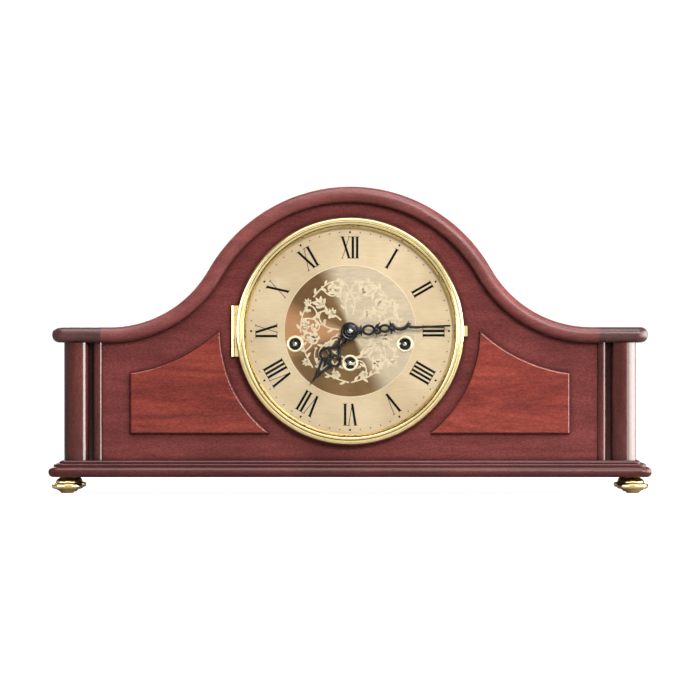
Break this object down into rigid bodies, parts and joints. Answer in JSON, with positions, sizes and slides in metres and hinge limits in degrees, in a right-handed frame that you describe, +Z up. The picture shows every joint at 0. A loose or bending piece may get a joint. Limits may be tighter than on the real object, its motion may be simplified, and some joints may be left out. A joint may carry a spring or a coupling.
{
  "type": "mantel clock",
  "caption": "Tambour mantel clock: arched wooden case on brass feet, hinged glazed bezel over a round dial, and a key-wound chiming movement with rods and hammers.",
  "frame": {"origin": "on the table plane, under the middle of the base", "axes": "-Y towards the viewer (dial side), +X to the viewer's right, +Z up"},
  "size_m": [0.445, 0.15, 0.2262],
  "materials": {
    "case_wood": "satin mahogany stain",
    "panel_wood": "satin, darker figured veneer",
    "raised_wood": "satin, bright figured veneer",
    "cap_wood": "satin, very dark stain",
    "rear_wood": "plain stained board",
    "polished_brass": "polished and lacquered",
    "movement_brass": "brushed plate brass",
    "dial_gold": "pale champagne satin, with dark centre and numerals",
    "hand_black": "gloss black",
    "steel": "ground steel",
    "bright_brass": "turned",
    "crystal": "clear",
    "iron": "dark painted casting"
  },
  "bodies": {
    "case": {"base_board": "case_wood", "base_moulding": "case_wood", "front_panel": "panel_wood", "left_raised_panel": "raised_wood", "right_raised_panel": "raised_wood", "top_arch": "case_wood", "left_shoulder_cap": "cap_wood", "right_shoulder_cap": "cap_wood", "corner_posts": "case_wood", "side_panels": "case_wood", "brass_feet": "polished_brass", "rear_frame": "rear_wood", "rear_hinge_frame_leaves": "polished_brass", "dial_plate": "dial_gold", "winding_grommets": "polished_brass", "bezel_hinge_case_leaf": "polished_brass", "front_plate": "movement_brass", "back_plate": "movement_brass", "plate_pillars": "movement_brass", "balance_cock": "movement_brass", "hammer_frame": "steel", "chime_rods": "steel", "rod_block": "iron"},
    "bezel": {"bezel_ring": "polished_brass", "bezel_glass": "crystal", "bezel_hinge_ring_leaf": "polished_brass"},
    "back_door": {"rear_door": "rear_wood", "rear_door_knob": "polished_brass", "rear_hinge_door_leaves": "polished_brass"},
    "minute": {"centre_arbor": "movement_brass", "minute_hand": "hand_black", "hand_nut": "bright_brass"},
    "hour": {"hour_wheel": "movement_brass", "hour_hand": "hand_black"},
    "motion_wheel": {"minute_wheel": "movement_brass"},
    "intermediate": {"intermediate_wheel": "movement_brass"},
    "third": {"third_wheel": "movement_brass"},
    "escape": {"escape_wheel": "movement_brass"},
    "lever": {"pallet_lever": "steel"},
    "balance": {"balance_wheel": "movement_brass"},
    "strike_second": {"strike_wheel": "movement_brass"},
    "chime_second": {"chime_wheel": "movement_brass"},
    "drum": {"chime_drum": "bright_brass"},
    "time_drive": {"time_barrel": "movement_brass", "time_mainspring": "steel"},
    "time_arbor": {"time_winding_arbor": "steel"},
    "time_pawl": {"time_click": "steel"},
    "strike_drive": {"strike_barrel": "movement_brass", "strike_mainspring": "steel"},
    "strike_arbor": {"strike_winding_arbor": "steel"},
    "strike_pawl": {"strike_click": "steel"},
    "chime_drive": {"chime_barrel": "movement_brass", "chime_mainspring": "steel"},
    "chime_arbor": {"chime_winding_arbor": "steel"},
    "chime_pawl": {"chime_click": "steel"},
    "hammer_arm_1": {"hammer_1": "bright_brass"},
    "hammer_arm_2": {"hammer_2": "bright_brass"},
    "hammer_arm_3": {"hammer_3": "bright_brass"},
    "hammer_arm_4": {"hammer_4": "bright_brass"},
    "hammer_arm_5": {"hammer_5": "bright_brass"}
  },
  "joints": [
    {"name": "bezel_swing", "type": "hinge", "parent": "case", "child": "bezel", "pos_m": [-0.0864, -0.0602, 0.1196], "axis": [0, 0, -1], "range_deg": [0, 110]},
    {"name": "rear_door_swing", "type": "hinge", "parent": "case", "child": "back_door", "pos_m": [-0.0945, 0.0678, 0.075], "axis": [0, 0, 1], "range_deg": [0, 100]},
    {"name": "minute_turn", "type": "hinge", "parent": "case", "child": "minute", "pos_m": [0, 0, 0.1196], "axis": [0, 1, 0], "continuous": true},
    {"name": "hour_turn", "type": "hinge", "parent": "case", "child": "hour", "pos_m": [0, -0.051, 0.1196], "axis": [0, 1, 0], "continuous": true},
    {"name": "motion_wheel_turn", "type": "hinge", "parent": "case", "child": "motion_wheel", "pos_m": [0.0168, -0.048, 0.1196], "axis": [0, 1, 0], "continuous": true},
    {"name": "intermediate_turn", "type": "hinge", "parent": "case", "child": "intermediate", "pos_m": [0.0155, 0, 0.11383], "axis": [0, 1, 0], "continuous": true},
    {"name": "time_barrel_turn", "type": "hinge", "parent": "case", "child": "time_drive", "pos_m": [0, -0.02, 0.096], "axis": [0, 1, 0], "continuous": true},
    {"name": "third_turn", "type": "hinge", "parent": "case", "child": "third", "pos_m": [-0.00704, 0, 0.13469], "axis": [0, 1, 0], "continuous": true},
    {"name": "escape_turn", "type": "hinge", "parent": "case", "child": "escape", "pos_m": [0.00244, 0, 0.14727], "axis": [0, 1, 0], "continuous": true},
    {"name": "lever_rock", "type": "hinge", "parent": "case", "child": "lever", "pos_m": [0.00244, 0, 0.15827], "axis": [0, 1, 0], "range_deg": [-6, 6]},
    {"name": "balance_swing", "type": "hinge", "parent": "case", "child": "balance", "pos_m": [0.00244, 0, 0.17127], "axis": [0, 1, 0], "range_deg": [-150, 150]},
    {"name": "strike_barrel_turn", "type": "hinge", "parent": "case", "child": "strike_drive", "pos_m": [-0.0405, -0.02, 0.11], "axis": [0, 1, 0], "continuous": true},
    {"name": "strike_second_turn", "type": "hinge", "parent": "case", "child": "strike_second", "pos_m": [-0.0446, 0, 0.13327], "axis": [0, 1, 0], "continuous": true},
    {"name": "chime_barrel_turn", "type": "hinge", "parent": "case", "child": "chime_drive", "pos_m": [0.0405, -0.02, 0.11], "axis": [0, 1, 0], "continuous": true},
    {"name": "chime_second_turn", "type": "hinge", "parent": "case", "child": "chime_second", "pos_m": [0.02869, 0, 0.08954], "axis": [0, 1, 0], "continuous": true},
    {"name": "drum_turn", "type": "hinge", "parent": "case", "child": "drum", "pos_m": [0.03982, 0.02, 0.07173], "axis": [0, 1, 0], "continuous": true},
    {"name": "time_winding", "type": "hinge", "parent": "case", "child": "time_arbor", "pos_m": [0, -0.044, 0.096], "axis": [0, 1, 0], "range_deg": [0, 2880]},
    {"name": "time_click_lift", "type": "hinge", "parent": "case", "child": "time_pawl", "pos_m": [-0.0105, -0.045, 0.1075], "axis": [0, -1, 0], "range_deg": [0, 12]},
    {"name": "strike_winding", "type": "hinge", "parent": "case", "child": "strike_arbor", "pos_m": [-0.0405, -0.044, 0.11], "axis": [0, 1, 0], "range_deg": [0, 2880]},
    {"name": "strike_click_lift", "type": "hinge", "parent": "case", "child": "strike_pawl", "pos_m": [-0.051, -0.045, 0.1215], "axis": [0, -1, 0], "range_deg": [0, 12]},
    {"name": "chime_winding", "type": "hinge", "parent": "case", "child": "chime_arbor", "pos_m": [0.0405, -0.044, 0.11], "axis": [0, 1, 0], "range_deg": [0, 2880]},
    {"name": "chime_click_lift", "type": "hinge", "parent": "case", "child": "chime_pawl", "pos_m": [0.03, -0.045, 0.1215], "axis": [0, -1, 0], "range_deg": [0, 12]},
    {"name": "hammer_1_swing", "type": "hinge", "parent": "case", "child": "hammer_arm_1", "pos_m": [0.014, 0.014, 0.062], "axis": [0, 1, 0], "range_deg": [0, 18]},
    {"name": "hammer_2_swing", "type": "hinge", "parent": "case", "child": "hammer_arm_2", "pos_m": [0.014, 0.023, 0.062], "axis": [0, 1, 0], "range_deg": [0, 18]},
    {"name": "hammer_3_swing", "type": "hinge", "parent": "case", "child": "hammer_arm_3", "pos_m": [0.014, 0.032, 0.062], "axis": [0, 1, 0], "range_deg": [0, 18]},
    {"name": "hammer_4_swing", "type": "hinge", "parent": "case", "child": "hammer_arm_4", "pos_m": [0.014, 0.041, 0.062], "axis": [0, 1, 0], "range_deg": [0, 18]},
    {"name": "hammer_5_swing", "type": "hinge", "parent": "case", "child": "hammer_arm_5", "pos_m": [0.014, 0.05, 0.062], "axis": [0, 1, 0], "range_deg": [0, 18]}
  ],
  "couplings": [
    {"joint": "hour_turn", "follows": "minute_turn", "ratio": 0.083333},
    {"joint": "motion_wheel_turn", "follows": "minute_turn", "ratio": -0.33333},
    {"joint": "intermediate_turn", "follows": "minute_turn", "ratio": -0.25},
    {"joint": "time_barrel_turn", "follows": "minute_turn", "ratio": 0.041667},
    {"joint": "third_turn", "follows": "minute_turn", "ratio": -6.4},
    {"joint": "escape_turn", "follows": "minute_turn", "ratio": 38.4},
    {"joint": "strike_second_turn", "follows": "strike_barrel_turn", "ratio": -6},
    {"joint": "chime_second_turn", "follows": "chime_barrel_turn", "ratio": -6},
    {"joint": "drum_turn", "follows": "chime_barrel_turn", "ratio": 3}
  ]
}
